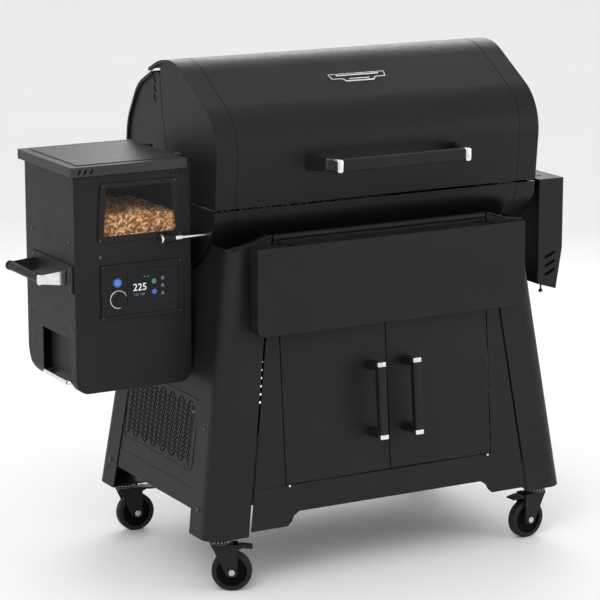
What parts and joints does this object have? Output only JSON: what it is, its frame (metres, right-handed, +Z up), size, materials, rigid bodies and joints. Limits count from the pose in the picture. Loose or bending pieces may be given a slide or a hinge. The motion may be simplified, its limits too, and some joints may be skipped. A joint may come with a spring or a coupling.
{
  "type": "pellet smoker grill",
  "caption": "Barrel pellet smoker grill on a leaning cabinet cart with side hopper, viewing window, controller, folding shelves, doors and locking casters",
  "frame": {"origin": "middle of the whole grill's footprint, on the ground", "axes": "+X to the right along the barrel (the hopper is at -X), +Y to the back, +Z up"},
  "size_m": [1.5052, 0.7254, 1.3233],
  "materials": {
    "black_enamel": "satin high-heat paint",
    "black_powder": "fine matte powder coat",
    "button_blue": "lit blue",
    "clear_glass": "clear",
    "grate_enamel": "porcelain coated",
    "grip_black": "soft satin grip",
    "hopper_top": "satin powder coat, catches the light",
    "panel_plastic": "satin control panel",
    "stainless": "brushed",
    "wheel_rubber": "black polyurethane tread on nylon",
    "wood_pellets": "pressed hardwood pellets",
    "zinc": "zinc plated"
  },
  "bodies": {
    "cart": {"leg_front_left": "black_powder", "leg_front_right": "black_powder", "leg_rear_left": "black_powder", "leg_rear_right": "black_powder", "side_panel_left": "black_powder", "side_panel_right": "black_powder", "front_frame": "black_powder", "rear_panel": "black_powder", "cabinet_floor": "black_powder", "cross_beams": "black_powder", "lower_barrel": "black_enamel", "rear_hood": "black_enamel", "barrel_end_left": "black_enamel", "barrel_end_right": "black_enamel", "cooking_grate_left": "grate_enamel", "cooking_grate_right": "grate_enamel", "upper_rack": "grate_enamel", "drip_tray": "black_enamel", "fire_pot": "black_enamel", "auger_tube": "zinc", "hopper_shell": "black_powder", "hopper_front": "black_powder", "lower_cover": "black_powder", "window_bezel": "panel_plastic", "window_glass": "clear_glass", "pellets": "wood_pellets", "control_panel": "panel_plastic", "side_handle_bracket": "black_powder", "side_handle_grip": "grip_black"},
    "lid": {"lid_shell": "black_enamel", "lid_end_left": "black_enamel", "lid_end_right": "black_enamel", "lid_handle_grip": "grip_black", "lid_handle_bracket_left": "black_powder", "lid_handle_bracket_right": "black_powder"},
    "hopper_lid": {"hopper_lid": "hopper_top"},
    "door_left": {"door_left": "black_powder", "door_handle_left": "grip_black"},
    "door_right": {"door_right": "black_powder", "door_handle_right": "grip_black"},
    "front_shelf": {"front_shelf": "black_powder"},
    "side_shelf": {"side_shelf": "black_powder"},
    "broiler_slide": {"broiler_plate": "black_enamel", "broiler_rod": "stainless"},
    "control_knob": {"control_knob": "panel_plastic"},
    "power_button": {"power_button": "button_blue"},
    "cleanout_drawer": {"cleanout_drawer": "black_powder"},
    "auger": {"auger": "zinc"},
    "caster_front_left": {"fork_front_left": "black_powder"},
    "caster_wheel_front_left": {"wheel_front_left": "wheel_rubber"},
    "brake_lever_front_left": {"brake_front_left": "black_powder"},
    "caster_front_right": {"fork_front_right": "black_powder"},
    "caster_wheel_front_right": {"wheel_front_right": "wheel_rubber"},
    "brake_lever_front_right": {"brake_front_right": "black_powder"},
    "caster_rear_left": {"fork_rear_left": "black_powder"},
    "caster_wheel_rear_left": {"wheel_rear_left": "wheel_rubber"},
    "brake_lever_rear_left": {"brake_rear_left": "black_powder"},
    "caster_rear_right": {"fork_rear_right": "black_powder"},
    "caster_wheel_rear_right": {"wheel_rear_right": "wheel_rubber"},
    "brake_lever_rear_right": {"brake_rear_right": "black_powder"}
  },
  "joints": [
    {"name": "lid_hinge", "type": "hinge", "parent": "cart", "child": "lid", "pos_m": [0.17061, 0.20643, 1.297], "axis": [-1, 0, 0], "range_deg": [0, 80]},
    {"name": "hopper_lid_hinge", "type": "hinge", "parent": "cart", "child": "hopper_lid", "pos_m": [-0.35561, 0.02043, 1.104], "axis": [0, 1, 0], "range_deg": [0, 75]},
    {"name": "door_left_hinge", "type": "hinge", "parent": "cart", "child": "door_left", "pos_m": [-0.16239, -0.2792, 0.45956], "axis": [0, -0.0875, -0.9962], "range_deg": [0, 105]},
    {"name": "door_right_hinge", "type": "hinge", "parent": "cart", "child": "door_right", "pos_m": [0.43961, -0.2792, 0.45956], "axis": [0, 0.0875, 0.9962], "range_deg": [0, 105]},
    {"name": "front_shelf_fold", "type": "hinge", "parent": "cart", "child": "front_shelf", "pos_m": [0.13861, -0.29657, 0.876], "axis": [-1, 0, 0], "range_deg": [0, 90]},
    {"name": "side_shelf_fold", "type": "hinge", "parent": "cart", "child": "side_shelf", "pos_m": [0.69061, 0.05543, 0.948], "axis": [0, -1, 0], "range_deg": [0, 90]},
    {"name": "broiler_pull", "type": "slide", "parent": "cart", "child": "broiler_slide", "axis": [-1, 0, 0], "range_m": [-0.055, 0.06]},
    {"name": "dial_turn", "type": "hinge", "parent": "cart", "child": "control_knob", "pos_m": [-0.55761, -0.13457, 0.76], "axis": [0, -1, 0], "continuous": true},
    {"name": "power_press", "type": "slide", "parent": "cart", "child": "power_button", "axis": [0, 1, 0], "range_m": [0, 0.002], "stiffness_N_per_m": 300},
    {"name": "cleanout_pull", "type": "slide", "parent": "cart", "child": "cleanout_drawer", "axis": [-1, 0, 0], "range_m": [0, 0.12]},
    {"name": "auger_spin", "type": "hinge", "parent": "cart", "child": "auger", "pos_m": [-0.26139, 0.07543, 0.822], "axis": [1, 0, 0], "continuous": true},
    {"name": "swivel_front_left", "type": "hinge", "parent": "cart", "child": "caster_front_left", "pos_m": [-0.34339, -0.26057, 0.12], "axis": [0, 0, 1], "continuous": true},
    {"name": "wheel_spin_front_left", "type": "hinge", "parent": "caster_front_left", "child": "caster_wheel_front_left", "pos_m": [-0.31716, -0.27512, 0.052], "axis": [0.4848, 0.8746, 0], "continuous": true},
    {"name": "brake_press_front_left", "type": "hinge", "parent": "caster_front_left", "child": "brake_lever_front_left", "pos_m": [-0.31191, -0.27803, 0.112], "axis": [0.4848, 0.8746, 0], "range_deg": [0, 12]},
    {"name": "swivel_front_right", "type": "hinge", "parent": "cart", "child": "caster_front_right", "pos_m": [0.62061, -0.26057, 0.12], "axis": [0, 0, 1], "continuous": true},
    {"name": "wheel_spin_front_right", "type": "hinge", "parent": "caster_front_right", "child": "caster_wheel_front_right", "pos_m": [0.59072, -0.26319, 0.052], "axis": [0.0872, -0.9962, 0], "continuous": true},
    {"name": "brake_press_front_right", "type": "hinge", "parent": "caster_front_right", "child": "brake_lever_front_right", "pos_m": [0.58474, -0.26371, 0.112], "axis": [0.0872, -0.9962, 0], "range_deg": [0, 12]},
    {"name": "swivel_rear_left", "type": "hinge", "parent": "cart", "child": "caster_rear_left", "pos_m": [-0.34339, 0.31143, 0.12], "axis": [0, 0, 1], "continuous": true},
    {"name": "wheel_spin_rear_left", "type": "hinge", "parent": "caster_rear_left", "child": "caster_wheel_rear_left", "pos_m": [-0.31351, 0.30881, 0.052], "axis": [0.0872, 0.9962, 0], "continuous": true},
    {"name": "brake_press_rear_left", "type": "hinge", "parent": "caster_rear_left", "child": "brake_lever_rear_left", "pos_m": [-0.30753, 0.30829, 0.112], "axis": [0.0872, 0.9962, 0], "range_deg": [0, 12]},
    {"name": "swivel_rear_right", "type": "hinge", "parent": "cart", "child": "caster_rear_right", "pos_m": [0.62061, 0.31143, 0.12], "axis": [0, 0, 1], "continuous": true},
    {"name": "wheel_spin_rear_right", "type": "hinge", "parent": "caster_rear_right", "child": "caster_wheel_rear_right", "pos_m": [0.59242, 0.32169, 0.052], "axis": [-0.342, -0.9397, 0], "continuous": true},
    {"name": "brake_press_rear_right", "type": "hinge", "parent": "caster_rear_right", "child": "brake_lever_rear_right", "pos_m": [0.58678, 0.32374, 0.112], "axis": [-0.342, -0.9397, 0], "range_deg": [0, 12]}
  ]
}
